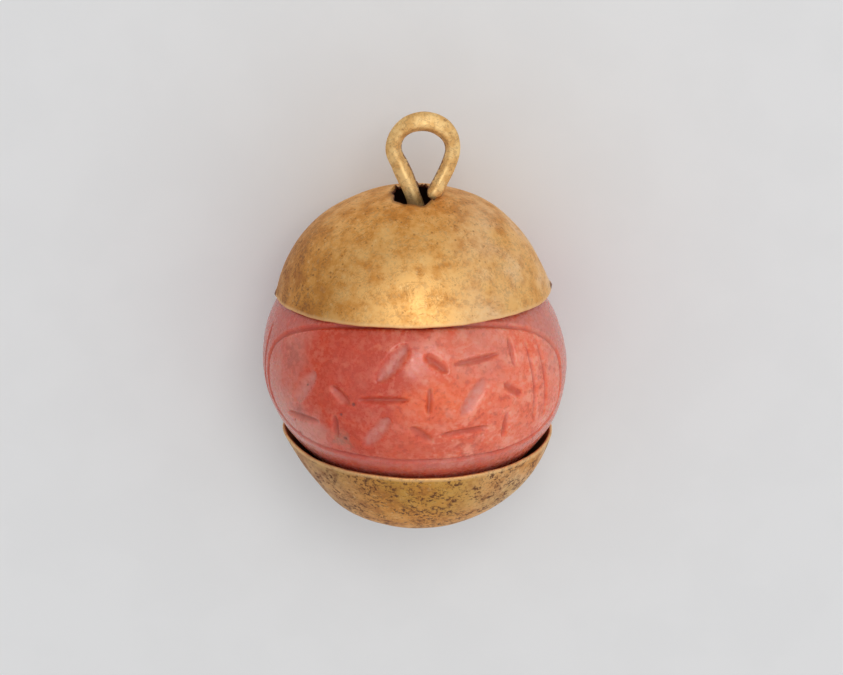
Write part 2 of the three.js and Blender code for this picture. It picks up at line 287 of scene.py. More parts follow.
class BeadSettings(bpy.types.PropertyGroup):
    radius: length_property("Radius", "Half the width of the ball, square to its own axis", 9.5 * MM)
    half_length: length_property("Half length", "Half the length of the ball along its own axis", 8.15 * MM)
    lean: FloatProperty(name="Lean", description="Angle from the bore to the ball's own axis",
                        default=math.radians(8), subtype="ANGLE")
    line_width: length_property("Line width", "Width of the engraved frame's line", 0.34 * MM)
    line_depth: length_property("Line depth", "Depth of the engraved frame's line", 0.22 * MM)
    stroke_depth: length_property("Stroke depth", "Depth of the cut strokes", 0.3 * MM)
    pit_radius: length_property("Pit radius", "Radius of the small pits", 0.085 * MM)
    pit_depth: length_property("Pit depth", "Depth of the small pits", 0.035 * MM)
    pit_density: FloatProperty(name="Pit density", description="Small pits on each square metre",
                               default=40000.0, min=0.0)
    seed: IntProperty(name="Seed", description="Places of the small pits", default=4)
    deep_red: colour_property("Deep red", "Colour of the clearest stone", (0.58, 0.062, 0.024))
    salmon: colour_property("Salmon", "Colour of the cloudy stone", (0.86, 0.19, 0.095))
    haze: colour_property("Haze", "Colour of the milky skin", (0.66, 0.25, 0.19))


CAP_LENGTHS = [
    ("rim_level", "Rim level", "Distance of the rim from the middle of the bead"),
    ("rim_gap", "Rim gap", "Gap between rim and bead"),
    ("crown_gap", "Crown gap", "Gap between crown and bead"),
    ("belly", "Belly", "How far the wall stands out beyond the rim"),
    ("sway", "Sway", "How far the wall leans to the right half-way up"),
    ("shift", "Shift", "How far the whole cap sits to the right"),
]
CAP_ANGLES = [
    ("tilt", "Tilt", "Turn of the cap about the axis across"),
    ("roll", "Roll", "Turn of the cap in plan"),
]


def cap_settings(title, fullness, **sizes):
    """Property group with the sizes of one cap."""
    fields = {
        field: length_property(name, text, sizes[field], low=-0.01) for field, name, text in CAP_LENGTHS
    }
    for field, name, text in CAP_ANGLES:
        fields[field] = FloatProperty(name=name, description=text, default=sizes[field], subtype="ANGLE")
    fields["fullness"] = FloatProperty(name="Fullness", description="Squareness of the bowl's outline",
                                       default=fullness, min=1.0)
    return type(title, (bpy.types.PropertyGroup,), {"__annotations__": fields})


UpperCapSettings = cap_settings(
    "UpperCapSettings", fullness=2.2, rim_level=4.58 * MM, rim_gap=0.45 * MM, crown_gap=2.63 * MM,
    belly=0.35 * MM, sway=-0.12 * MM, shift=0.0, tilt=math.radians(1.7), roll=math.radians(1.0))
LowerCapSettings = cap_settings(
    "LowerCapSettings", fullness=2.0, rim_level=4.46 * MM, rim_gap=0.27 * MM, crown_gap=2.43 * MM,
    belly=0.65 * MM, sway=0.12 * MM, shift=0.25 * MM, tilt=math.radians(-3.3), roll=math.radians(-0.8))


class SheetSettings(bpy.types.PropertyGroup):
    thickness: length_property("Thickness", "Thickness of the sheet gold", 0.2 * MM)
    dent_depth: length_property("Dent depth", "How far hammering moved the sheet", 0.035 * MM)
    dent_size: length_property("Dent size", "Width of the dents that hammering left", 2.4 * MM)
    ripple_depth: length_property("Ripple depth", "Depth of the small unevenness", 0.006 * MM)
    ripple_size: length_property("Ripple size", "Width of the small unevenness", 0.5 * MM)
    seed: IntProperty(name="Seed", description="Places of the dents", default=3)
    gold: colour_property("Gold", "Colour of the clean sheet", (0.95, 0.56, 0.2))
    ochre: colour_property("Ochre", "Colour of the dull sheet", (0.78, 0.36, 0.075))
    tarnish: colour_property("Tarnish", "Colour of the brown specks and scratches", (0.26, 0.095, 0.03))


class WireSettings(bpy.types.PropertyGroup):
    thickness: length_property("Thickness", "Thickness of the wire", 1.06 * MM)
    hammer_depth: length_property("Hammer depth", "How uneven hammering left the wire", 0.03 * MM)
    hammer_size: length_property("Hammer size", "Width of the uneven places", 0.9 * MM)
    seed: IntProperty(name="Seed", description="Places of the uneven spots", default=5)
    gold: colour_property("Gold", "Colour of the wire", (0.95, 0.63, 0.26))
    hollow: colour_property("Hollow", "Colour of the brown hollows", (0.24, 0.11, 0.05))


class StageSettings(bpy.types.PropertyGroup):
    floor: colour_property("Floor", "Colour of the floor", (0.8, 0.8, 0.795))
    key_power: FloatProperty(name="Key light", description="Power of the small light beside the camera",
                             default=0.5, min=0.0, unit="POWER")
    fill: FloatProperty(name="Fill", description="Strength of the light from all round", default=0.79,
                        min=0.0)


# Meshes

def centre_height(bead):
    return bead.radius - FLAT_SPOT_DEPTH


def wire_corner_reach(wire):
    return wire.thickness / 2 * 2 ** (0.5 - 1 / WIRE_SQUARENESS)


def smooth(value):
    value = np.clip(value, 0, 1)
    return value * value * (3 - 2 * value)


def new_object(name, data):
    piece = bpy.data.objects.new(name, data)
    bpy.context.scene.collection.objects.link(piece)
    return piece


def ring_mesh(name, points, attributes):
    """Mesh of a grid that closes on itself both ways: rows x columns of points, in metres."""
    rows, columns, _ = points.shape
    corner = np.arange(rows * columns).reshape(rows, columns)
    below = np.roll(corner, -1, axis=0)
    faces = np.stack([corner, np.roll(corner, -1, axis=1), np.roll(below, -1, axis=1), below], -1)
    faces = faces.reshape(-1, 4)
    flat = points.reshape(-1, 3)
    a, b, c, d = (flat[faces[:, k]] for k in range(4))
    volume = np.einsum("ij,ij->i", a, np.cross(b, c) + np.cross(c, d)).sum()
    if volume < 0:
        faces = faces[:, ::-1]
    mesh = bpy.data.meshes.new(name)
    mesh.from_pydata(flat.tolist(), [], faces.tolist())
    mesh.polygons.foreach_set("use_smooth", np.ones(len(faces), bool))
    for attribute, values in attributes.items():
        layer = mesh.attributes.new(attribute, "FLOAT", "POINT")
        layer.data.foreach_set("value", np.asarray(values, np.float32).ravel())
    mesh.update()
    return mesh


def resample(points, step):
    """Evenly spaced points along a line of points, with their distances from its start."""
    lengths = np.concatenate([[0], np.cumsum(np.linalg.norm(np.diff(points, axis=0), axis=1))])
    count = max(2, round(lengths[-1] / step) + 1)
    places = np.linspace(0, lengths[-1], count)
    return np.stack([np.interp(places, lengths, points[:, k]) for k in range(3)], -1), places


# Node trees

class NodeBuilder:
    """Adds nodes to a tree, one call for each, with its inputs given as values or as sockets."""

    def __init__(self, tree):
        self.tree = tree

    def add(self, kind, inputs=None, **settings):
        node = self.tree.nodes.new(kind)
        for setting, value in settings.items():
            setattr(node, setting, value)
        for socket, value in (inputs or {}).items():
            self.put(node.inputs[socket], value)
        return node

    def put(self, socket, value):
        if isinstance(value, bpy.types.NodeSocket):
            self.tree.links.new(value, socket)
        else:
            socket.default_value = value

    def maths(self, operation, *values):
        return self.add("ShaderNodeMath", dict(enumerate(values)), operation=operation).outputs[0]

    def times(self, *values):
        product = values[0]
        for value in values[1:]:
            product = self.maths("MULTIPLY", product, value)
        return product

    def span(self, value, low, high, start=0.0, end=1.0):
        """Soft step of a value from one level to another."""
        return self.add("ShaderNodeMapRange", {
            "Value": value, "From Min": low, "From Max": high, "To Min": start, "To Max": end},
            interpolation_type="SMOOTHSTEP").outputs["Result"]

    def blend(self, first, second, *shares):
        """Colour between two, each a colour or a socket, by the product of the shares."""
        node = self.add("ShaderNodeMix", {0: self.times(*shares)}, data_type="RGBA")
        for index, colour in ((6, first), (7, second)):
            linked = isinstance(colour, bpy.types.NodeSocket)
            self.put(node.inputs[index], colour if linked else (*colour, 1.0))
        return node.outputs[2]


class ShapeTree(NodeBuilder):
    """Tree of geometry nodes with named inputs."""

    def __init__(self, name, inputs):
        super().__init__(bpy.data.node_groups.new(name, "GeometryNodeTree"))
        sockets = self.tree.interface
        for title, kind in {"Geometry": "Geometry", **inputs, "Material": "Material"}.items():
            sockets.new_socket(title, in_out="INPUT", socket_type=f"NodeSocket{kind}")
        sockets.new_socket("Geometry", in_out="OUTPUT", socket_type="NodeSocketGeometry")
        self.given = self.add("NodeGroupInput").outputs

    def unevenness(self, size, depth, seed):
        """Distance in or out from seeded noise with lumps of a given size."""
        scale = self.maths("DIVIDE", 1.0, size)
        noise = self.add("ShaderNodeTexNoise", {"W": seed, "Scale": scale, "Detail": 2.0},
                         noise_dimensions="4D")
        centred = self.maths("SUBTRACT", noise.outputs["Fac"], 0.5)
        return self.maths("MULTIPLY", centred, self.maths("MULTIPLY", depth, 2.0))

    def marked(self, geometry, name, value):
        """Geometry that carries a value of each point under a name."""
        return self.add("GeometryNodeStoreNamedAttribute", {
            "Geometry": geometry, "Name": name, "Value": value},
            data_type="FLOAT", domain="POINT").outputs[0]

    def moved(self, geometry, direction, distance):
        """Geometry with each point moved along a direction."""
        shift = self.add("ShaderNodeVectorMath", {0: direction, "Scale": distance}, operation="SCALE")
        return self.add("GeometryNodeSetPosition", {
            "Geometry": geometry, "Offset": shift.outputs[0]}).outputs[0]

    def finish(self, geometry):
        """Ends the tree with plain geometry in its material."""
        real = self.add("GeometryNodeRealizeInstances", {"Geometry": geometry})
        painted = self.add("GeometryNodeSetMaterial", {
            "Geometry": real.outputs[0], "Material": self.given["Material"]})
        self.add("NodeGroupOutput", {"Geometry": painted.outputs[0]})
        return self.tree


def hammered_sheet_tree():
    """Moves a sheet in and out from a centre, both of its faces alike."""
    tree = ShapeTree("hammered_sheet", {
        "Centre": "Vector", "Dent size": "Float", "Dent depth": "Float", "Ripple size": "Float",
        "Ripple depth": "Float", "Seed": "Float"})
    given = tree.given
    place = tree.add("GeometryNodeInputPosition").outputs[0]
    away = tree.add("ShaderNodeVectorMath", {0: place, 1: given["Centre"]}, operation="SUBTRACT")
    outward = tree.add("ShaderNodeVectorMath", {0: away.outputs[0]}, operation="NORMALIZE")
    dents = tree.unevenness(given["Dent size"], given["Dent depth"], given["Seed"])
    ripples = tree.unevenness(given["Ripple size"], given["Ripple depth"], given["Seed"])
    return tree.finish(tree.moved(given["Geometry"], outward.outputs[0], tree.maths("ADD", dents, ripples)))


def pitted_stone_tree():
    """Scatters small round pits over a stone and marks them in an attribute."""
    tree = ShapeTree("pitted_stone", {
        "Pit density": "Float", "Pit radius": "Float", "Pit depth": "Float", "Seed": "Int"})
    given = tree.given
    points = tree.add("GeometryNodeDistributePointsOnFaces", {
        "Mesh": given["Geometry"], "Density": given["Pit density"], "Seed": given["Seed"]})
    nearest = tree.add("GeometryNodeProximity", {0: points.outputs["Points"]}, target_element="POINTS")
    share = tree.maths("DIVIDE", nearest.outputs["Distance"], given["Pit radius"])
    bowl = tree.span(share, 0.0, 1.0, 1.0, 0.0)
    inward = tree.maths("MULTIPLY", bowl, tree.maths("MULTIPLY", given["Pit depth"], -1.0))
    normal = tree.add("GeometryNodeInputNormal").outputs[0]
    return tree.finish(tree.moved(tree.marked(given["Geometry"], "small_pit", bowl), normal, inward))


def hammered_wire_tree():
    """Sweeps a rounded square along the wire's line, as thick as each point's radius says."""
    tree = ShapeTree("hammered_wire", {
        "Thickness": "Float", "Corner share": "Float", "Edge turn": "Float", "Hammer size": "Float",
        "Hammer depth": "Float", "Seed": "Float"})
    given = tree.given
    square = tree.add("GeometryNodeCurvePrimitiveQuadrilateral", {
        "Width": given["Thickness"], "Height": given["Thickness"]})
    rounding = tree.maths("MULTIPLY", given["Thickness"], given["Corner share"])
    section = tree.add("GeometryNodeFilletCurve", {
        "Curve": square.outputs[0], "Count": 6, "Radius": rounding, "Limit Radius": True}, mode="POLY")
    corner = tree.add("ShaderNodeSeparateXYZ", {0: tree.add("GeometryNodeInputPosition").outputs[0]})
    bearing = tree.maths("ARCTAN2", corner.outputs["Y"], corner.outputs["X"])
    marked = tree.marked(section.outputs[0], "section_bearing", bearing)
    turn = tree.add("ShaderNodeCombineXYZ", {"Z": given["Edge turn"]})
    turned = tree.add("GeometryNodeTransform", {"Geometry": marked, "Rotation": turn.outputs[0]})
    line = tree.add("GeometryNodeSetCurveNormal", {"Curve": given["Geometry"]}, mode="Z_UP")
    swept = tree.add("GeometryNodeCurveToMesh", {
        "Curve": line.outputs[0], "Profile Curve": turned.outputs[0],
        "Scale": tree.add("GeometryNodeInputRadius").outputs[0], "Fill Caps": True})
    subdivided = tree.add("GeometryNodeSubdivideMesh", {"Mesh": swept.outputs[0], "Level": 1})
    normal = tree.add("GeometryNodeInputNormal").outputs[0]
    lumps = tree.unevenness(given["Hammer size"], given["Hammer depth"], given["Seed"])
    uneven = tree.moved(subdivided.outputs[0], normal, lumps)
    softened = tree.add("GeometryNodeSetShadeSmooth", {"Geometry": uneven, "Shade Smooth": True})
    return tree.finish(softened.outputs[0])


def made_by_tree(source, name, tree, values):
    """Plain mesh object of what a tree makes from a source object, which is removed."""
    modifier = source.modifiers.new("shape", "NODES")
    modifier.node_group = tree
    for item in tree.interface.items_tree:
        if item.in_out == "INPUT" and item.name in values:
            modifier[item.identifier] = values[item.name]
    graph = bpy.context.evaluated_depsgraph_get()
    mesh = bpy.data.meshes.new_from_object(source.evaluated_get(graph), preserve_all_data_layers=True,
                                           depsgraph=graph)
    source.modifiers.remove(modifier)
    bpy.data.objects.remove(source)
    mesh.name = name
    return new_object(name, mesh)


def joined_frame(piece, node):
    """Puts a finished piece in the place of its node."""
    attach(piece, BODY)
    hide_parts(node)
    return piece


# Bead

def ball_reach(bead, longitude, polar):
    """Distance from the bead's middle to the smooth ball, in a direction round the bore and off it."""
    x = np.sin(polar) * np.sin(longitude)
    y = np.cos(polar)
    z = np.sin(polar) * np.cos(longitude)
    own_x = x * math.cos(bead.lean) - y * math.sin(bead.lean)
    own_y = x * math.sin(bead.lean) + y * math.cos(bead.lean)
    return 1 / np.sqrt((own_x ** 2 + z ** 2) / bead.radius ** 2 + own_y ** 2 / bead.half_length ** 2)


def ball_point(bead, longitude, height):
    """Point of the ball at a longitude round the bore and a height along it."""
    sin, cos = math.sin(bead.lean), math.cos(bead.lean)
    across = np.sin(longitude)
    wide, long = 1 / bead.radius ** 2, 1 / bead.half_length ** 2
    a = ((across * cos) ** 2 + np.cos(longitude) ** 2) * wide + (across * sin) ** 2 * long
    b = 2 * across * height * sin * cos * (long - wide)
    c = height ** 2 * (sin ** 2 * wide + cos ** 2 * long) - 1
    reach = (-b + np.sqrt(b * b - 4 * a * c)) / (2 * a)
    return np.stack(np.broadcast_arrays(across * reach, height, np.cos(longitude) * reach), -1)


def ball_directions(bead, bore):
    """Longitude and polar angle of every row and column of the bead's outside, from bore to bore."""
    front = np.linspace(-FRONT_HALF_SPAN, FRONT_HALF_SPAN, FRONT_COLUMNS)
    back = np.linspace(FRONT_HALF_SPAN, 2 * math.pi - FRONT_HALF_SPAN, BACK_COLUMNS + 2)[1:-1]
    longitude = np.concatenate([front, back])
    heights = np.linspace(BAND_HALF_HEIGHT, -BAND_HALF_HEIGHT, BAND_ROWS)
    band = ball_point(bead, longitude[None, :], heights[:, None])
    polar = np.arctan2(np.hypot(band[..., 0], band[..., 2]), band[..., 1])
    edges = []
    for end in (0.0, math.pi):
        edge = np.full(len(longitude), abs(end - bore / bead.half_length))
        for _ in range(EDGE_PASSES):
            edge = abs(end - np.arcsin(bore / ball_reach(bead, longitude, edge)))
        edges.append(edge)
    share = (np.arange(END_ROWS) / END_ROWS)[:, None]
    top = edges[0] + (polar[0] - edges[0]) * share
    bottom = edges[1] + (polar[-1] - edges[1]) * share[::-1]
    return longitude, np.concatenate([top, polar, bottom])


def carve(depth, points, line, half_widths, depths):
    """Deepens a height field along a line, with a round worn section."""
    margin = half_widths.max()
    near = np.all((points > line.min(0) - margin) & (points < line.max(0) + margin), axis=-1)
    if not near.any():
        return
    gaps = np.linalg.norm(points[near][:, None] - line[None], axis=-1)
    nearest = gaps.argmin(1)
    share = gaps.min(1) / np.maximum(half_widths[nearest], 1e-9)
    section = 0.5 + 0.5 * np.cos(math.pi * np.clip(share, 0, 1))
    depth[near] = np.maximum(depth[near], depths[nearest] * section)


def frame_line(bead):
    """Closed line of the engraved frame, a rounded oblong."""
    turn = np.linspace(0, 2 * math.pi, FRAME_POINTS)
    bend = 2 / np.where(np.sin(turn) > 0, FRAME_UPPER_FULLNESS, FRAME_LOWER_FULLNESS)
    across = np.sign(np.cos(turn)) * np.abs(np.cos(turn)) ** bend
    along = np.sign(np.sin(turn)) * np.abs(np.sin(turn)) ** bend
    line = ball_point(bead, FRAME_HALF_SPAN * across, FRAME_MIDDLE + FRAME_HALF_HEIGHT * along)
    return resample(line, GROOVE_STEP)[0]


def beyond_frame(points):
    """How far each point lies outside the engraved frame: 0 inside it, 1 well outside."""
    across = np.arctan2(points[..., 0], points[..., 2]) / FRAME_HALF_SPAN
    along = (points[..., 1] - FRAME_MIDDLE) / FRAME_HALF_HEIGHT
    fullness = np.where(along > 0, FRAME_UPPER_FULLNESS, FRAME_LOWER_FULLNESS)
    return smooth((np.abs(across) ** fullness + np.abs(along) ** fullness - 1) / FRAME_FADE)


def stroke_line(bead, longitude, height, length, turn):
    """Line of a stroke on the ball: its middle, its length and its turn from the rows' direction."""
    girth = bead.radius * math.sqrt(1 - (height / bead.half_length) ** 2)
    along = np.linspace(-0.5, 0.5, STROKE_POINTS) * length
    line = ball_point(bead, longitude + along * math.cos(turn) / girth, height + along * math.sin(turn))
    return resample(line, GROOVE_STEP)[0]


def carve_frame(bead, depth, points):
    line = frame_line(bead)
    wear = 1 - FRAME_WEAR + FRAME_WEAR * np.sin(np.linspace(0, FRAME_WEAR_TURNS, len(line)))
    width = np.full(len(line), bead.line_width / 2 * WORN_EDGE)
    for part in np.array_split(np.arange(len(line)), FRAME_PARTS):
        carve(depth, points, line[part], width[part], bead.line_depth * wear[part])


def carve_stroke(depth, points, line, width, stroke_depth):
    from_middle = np.abs(np.linspace(-1, 1, len(line)))
    taper = np.sqrt(np.clip(1 - from_middle ** STROKE_FULLNESS, STROKE_END_SHARE, 1))
    carve(depth, points, line, width / 2 * WORN_EDGE * taper, stroke_depth * taper)


def carve_end_bars(bead, depth, points):
    """Upright bars near the ends of the frame."""
    for longitude in END_BAR_LONGITUDES:
        bar = stroke_line(bead, longitude, FRAME_MIDDLE, 2 * END_BAR_HALF_HEIGHT, math.pi / 2)
        carve_stroke(depth, points, bar, bead.line_width, bead.line_depth)


def carve_strokes(bead, depth, fill, points):
    """Rows of strokes inside the frame, with the broad ones also noted as filled with milky stone."""
    for row in range(ROW_COUNT):
        height = FRAME_MIDDLE + (row - (ROW_COUNT - 1) / 2) * ROW_PITCH
        for i in range(BARE_STROKES[row], STROKES_PER_ROW):
            kind = (i + KIND_STEPS_PER_ROW * row) % len(STROKE_LENGTHS)
            longitude = ROW_MIDDLE + (i - (STROKES_PER_ROW - 1) / 2) * STROKE_PITCH + row * ROW_STAGGER
            line = stroke_line(bead, longitude, height, STROKE_LENGTHS[kind], STROKE_TURNS[kind])
            carve_stroke(depth, points, line, STROKE_WIDTHS[kind], bead.stroke_depth)
            if STROKE_WIDTHS[kind] > BROAD_STROKE:
                carve_stroke(fill, points, line, STROKE_WIDTHS[kind], 1.0)


def carve_clear_pits(bead, depth, points):
    for longitude, height, radius in CLEAR_PITS:
        middle = ball_point(bead, np.array([longitude]), np.array([height]))
        carve(depth, points, middle, np.array([radius * WORN_EDGE]), np.array([CLEAR_PIT_DEPTH]))


def bead_bumps(points):
    """Slight waviness that hand polishing left on the ball."""
    x, y, z = (points[..., k] / MM for k in range(3))
    broad = np.sin(0.9 * x + 0.7 * y + 1.0) * np.sin(0.8 * y - 0.6 * z)
    middling = 0.6 * np.sin(1.7 * x - 1.3 * z + 2.0)
    fine = 0.25 * np.sin(3.7 * x + 2.9 * y) * np.sin(4.3 * z - 2.1 * y)
    return BEAD_BUMPS * (broad + middling + fine)


def bead_mesh(bead, bore):
    longitude, polar = ball_directions(bead, bore)
    reach = ball_reach(bead, longitude[None, :], polar)
    round_bore = np.stack([np.sin(longitude), np.cos(longitude)], -1)
    points = np.empty(polar.shape + (3,))
    points[..., 0] = np.sin(polar) * reach * round_bore[:, 0]
    points[..., 1] = np.cos(polar) * reach
    points[..., 2] = np.sin(polar) * reach * round_bore[:, 1]

    lines = np.zeros(polar.shape)
    carve_frame(bead, lines, points)
    carve_end_bars(bead, lines, points)
    strokes = np.zeros(polar.shape)
    fill = np.zeros(polar.shape)
    carve_strokes(bead, strokes, fill, points)
    pits = np.zeros(polar.shape)
    carve_clear_pits(bead, pits, points)
    outward = points / np.array([bead.radius, bead.half_length, bead.radius]) ** 2
    outward /= np.linalg.norm(outward, axis=-1, keepdims=True)
    clear_of_bore = smooth((np.hypot(points[..., 0], points[..., 2]) - bore) / BORE_MARGIN)
    lift = bead_bumps(points) * clear_of_bore - np.maximum(lines, strokes) - pits
    shaped = points + outward * lift[..., None]
    shaped[..., 2] = np.maximum(shaped[..., 2], -centre_height(bead))

    inside = np.empty((BORE_ROWS, len(longitude), 3))
    for row in range(BORE_ROWS):
        share = (row + 1) / (BORE_ROWS + 1)
        inside[row, :, 0] = bore * round_bore[:, 0]
        inside[row, :, 1] = points[-1, :, 1] + (points[0, :, 1] - points[-1, :, 1]) * share
        inside[row, :, 2] = bore * round_bore[:, 1]
    shaped = np.concatenate([shaped, inside])
    shaped[..., 2] += centre_height(bead)
    blank = np.zeros((BORE_ROWS, len(longitude)))
    return ring_mesh("carnelian_bead", shaped, {
        "frame_line": np.concatenate([lines / bead.line_depth, blank]),
        "cut_stroke": np.concatenate([strokes / bead.stroke_depth, blank]),
        "milky_fill": np.concatenate([fill, blank]),
        "beyond_frame": np.concatenate([beyond_frame(points), blank + 1]),
        "clear_pit": np.concatenate([pits / CLEAR_PIT_DEPTH, blank]),
    })


# Caps

class Bowl:
    """Outline and seat of one cap, with its levels counted from the middle of the bead."""

    def __init__(self, cap, bead, sheet, end):
        rim_girth = bead.radius * math.sqrt(1 - (cap.rim_level / bead.half_length) ** 2)
        rim_radius = rim_girth + cap.rim_gap + sheet.thickness
        self.end = end
        self.rim_level = cap.rim_level
        self.belly_radius = rim_radius + cap.belly
        self.crown_level = bead.half_length + cap.crown_gap + sheet.thickness
        self.fullness = cap.fullness
        rim_share = math.sqrt(1 - (rim_radius / self.belly_radius) ** cap.fullness)
        self.middle_level = (cap.rim_level - rim_share * self.crown_level) / (1 - rim_share)
        self.sway = cap.sway
        turn = Euler((-cap.tilt, 0, cap.roll), "XYZ").to_matrix()
        self.seat = np.array(turn)
        self.shift = np.array([cap.shift, 0, 0])

    def outline(self, inset):
        """Radius, level and distance from the rim of points up the wall, from just below the rim."""
        reach = self.crown_level - self.middle_level - inset
        start = math.asin((self.rim_level - RIM_MARGIN - self.middle_level) / reach)
        turn = np.linspace(start, math.pi / 2, OUTLINE_POINTS)
        radius = (self.belly_radius - inset) * np.clip(np.cos(turn), 0, None) ** (2 / self.fullness)
        level = self.middle_level + reach * np.sin(turn)
        distance = np.concatenate([[0], np.cumsum(np.hypot(np.diff(radius), np.diff(level)))])
        return radius, level, distance - np.interp(self.rim_level, level, distance)

    def seated(self, points):
        """Takes points from the cap's own axis to its place on the bead."""
        return points @ self.seat.T + self.shift


def around(direction, middle):
    """Angle from a middle direction, between minus and plus half a turn."""
    return (direction - middle + math.pi) % (2 * math.pi) - math.pi


def torn_hole_reach(direction):
    """Distance from the crown's axis to the torn edge, in each direction."""
    turn = np.linspace(0, 2 * math.pi, TORN_HOLE_POINTS, endpoint=False)
    ripple = TORN_HOLE_RIPPLE_SHARE * np.sin(TORN_HOLE_RIPPLES * turn)
    wander = 1 + TORN_HOLE_RAGGEDNESS * (np.sin(TORN_HOLE_WAVES * turn + TORN_HOLE_TURN) + ripple)
    x = TORN_HOLE_SIDE + TORN_HOLE_HALF_WIDTH * wander * np.cos(turn)
    z = TORN_HOLE_FORWARD - TORN_HOLE_HALF_LENGTH * wander * np.sin(turn)
    bearing = np.arctan2(x, z)
    order = np.argsort(bearing)
    reach = np.interp(direction, bearing[order], np.hypot(x, z)[order], period=2 * math.pi)
    for waves, size, phase in TORN_HOLE_FRAY:
        reach = reach + size * np.sin(waves * direction + phase)
    for bearing, size, width in TORN_HOLE_TRIMS:
        reach = reach + size * np.exp(-(around(direction, bearing) / width) ** 2)
    return reach


def sheet_rows():
    """Rows round a wall's section: share of the way up, across the wall, and past its edge."""
    up = np.linspace(0, 1, CAP_ROWS)
    half_turn = np.linspace(0, math.pi, EDGE_ROWS + 2)[1:-1]
    flat, edge = np.ones(CAP_ROWS), np.ones(EDGE_ROWS)
    share = np.concatenate([up, edge, up[::-1], 0 * edge])
    across = np.concatenate([flat, np.cos(half_turn), -flat, -np.cos(half_turn)])
    past = np.concatenate([0 * flat, np.sin(half_turn), 0 * flat, -np.sin(half_turn)])
    inside = np.concatenate([0 * flat, 0.5 + 0 * edge, flat, 0.3 + 0 * edge])
    return share, across, past, inside


def lump(direction, level, bearing, height, width, spread, size):
    """Soft swelling of a wall round one bearing and level."""
    return size * np.exp(-(around(direction, bearing) / width) ** 2 - ((level - height) / spread) ** 2)


def cap_mesh(name, bowl, thickness, hole_reach, rim_dip, swellings, tongues):
    """Double-walled bowl of sheet with rounded edges, from a wavy rim to the hole's edge."""
    direction = np.linspace(-math.pi, math.pi, CAP_COLUMNS, endpoint=False)
    half = thickness / 2
    radius, level, distance = bowl.outline(half)
    share, across, past, inside = sheet_rows()
    hole = np.interp(-hole_reach(direction), -radius, distance) - half
    rim = half + rim_dip(direction)
    for waves, size, phase in RIM_WAVES:
        rim = rim + size * np.sin(waves * direction + phase + bowl.end)
    place = rim + (hole - rim) * share[:, None]
    wall_radius = np.interp(place, distance, radius)
    wall_level = np.interp(place, distance, level)
    slope_radius = np.interp(place, distance, np.gradient(radius, distance))
    slope_level = np.interp(place, distance, np.gradient(level, distance))

    lift = half * across[:, None] + sum(lump(direction, wall_level, *swelling) for swelling in swellings)
    from_hole = hole - place
    for bearing, height, width in tongues:
        fan = np.exp(-(around(direction, bearing) / width) ** 2)
        lift = lift + height * fan * np.exp(-(from_hole / TONGUE_ROOT) ** 1.5)
    ahead = half * past[:, None]
    wall_radius, wall_level = (wall_radius + lift * slope_level + ahead * slope_radius,
                               wall_level - lift * slope_radius + ahead * slope_level)
    leaning = (wall_level - bowl.rim_level) / (bowl.crown_level - bowl.rim_level)
    x = wall_radius * np.sin(direction) + bowl.sway * np.sin(math.pi * np.clip(leaning, 0, 1))
    points = bowl.seated(np.stack([x, bowl.end * wall_level, wall_radius * np.cos(direction)], -1))
    from_rim = place - rim
    return ring_mesh(name, points, {
        "inside": np.broadcast_to(inside[:, None], x.shape),
        "from_rim": from_rim / MM,
        "from_hole": from_hole / MM,
    })


def drooping_rim(direction):
    """The upper rim hangs a little lower at both sides."""
    return -UPPER_RIM_DROOP * np.sin(direction) ** 4


def dipping_rim(direction):
    """The lower rim is cut a little deeper between its front and its left side."""
    return LOWER_RIM_DIP * np.sin(2 * direction) ** 2 * (0.5 - 0.5 * np.sin(direction))


def add_cap(context, name, node, bowl, **form):
    sheet = context.scene.pendant_sheet
    bead = context.scene.pendant_bead
    raw = new_object(name + "_raw", cap_mesh(name, bowl, sheet.thickness, **form))
    raw.data.transform(Matrix.Translation((0, 0, centre_height(bead))))
    cap = made_by_tree(raw, name, hammered_sheet_tree(), {
        "Centre": (0.0, 0.0, centre_height(bead)),
        "Dent size": sheet.dent_size,
        "Dent depth": sheet.dent_depth,
        "Ripple size": sheet.ripple_size,
        "Ripple depth": sheet.ripple_depth,
        "Seed": float(sheet.seed),
        "Material": bpy.data.materials.get("aged_sheet_gold") or sheet_gold(sheet, centre_height(bead)),
    })
    return joined_frame(cap, node)


# Wire

def catmull_rom(points):
    """Dense points of a centripetal Catmull-Rom curve through all the given ones."""
    points = np.array(points)
    padded = np.vstack([2 * points[0] - points[1], points, 2 * points[-1] - points[-2]])
    share = np.linspace(0, 1, SPLINE_STEPS, endpoint=False)[:, None]
    parts = []
    for a, b, c, d in zip(padded, padded[1:], padded[2:], padded[3:]):
        before, span, after = (math.sqrt(np.linalg.norm(q - p)) for p, q in ((a, b), (b, c), (c, d)))
        start = ((b - a) / before - (c - a) / (before + span) + (c - b) / span) * span
        end = ((c - b) / span - (d - b) / (span + after) + (d - c) / after) * span
        bend = -3 * b + 3 * c - 2 * start - end
        twist = 2 * b - 2 * c + start + end
        parts.append(b + start * share + bend * share ** 2 + twist * share ** 3)
    return np.vstack(parts + [points[-1:]])


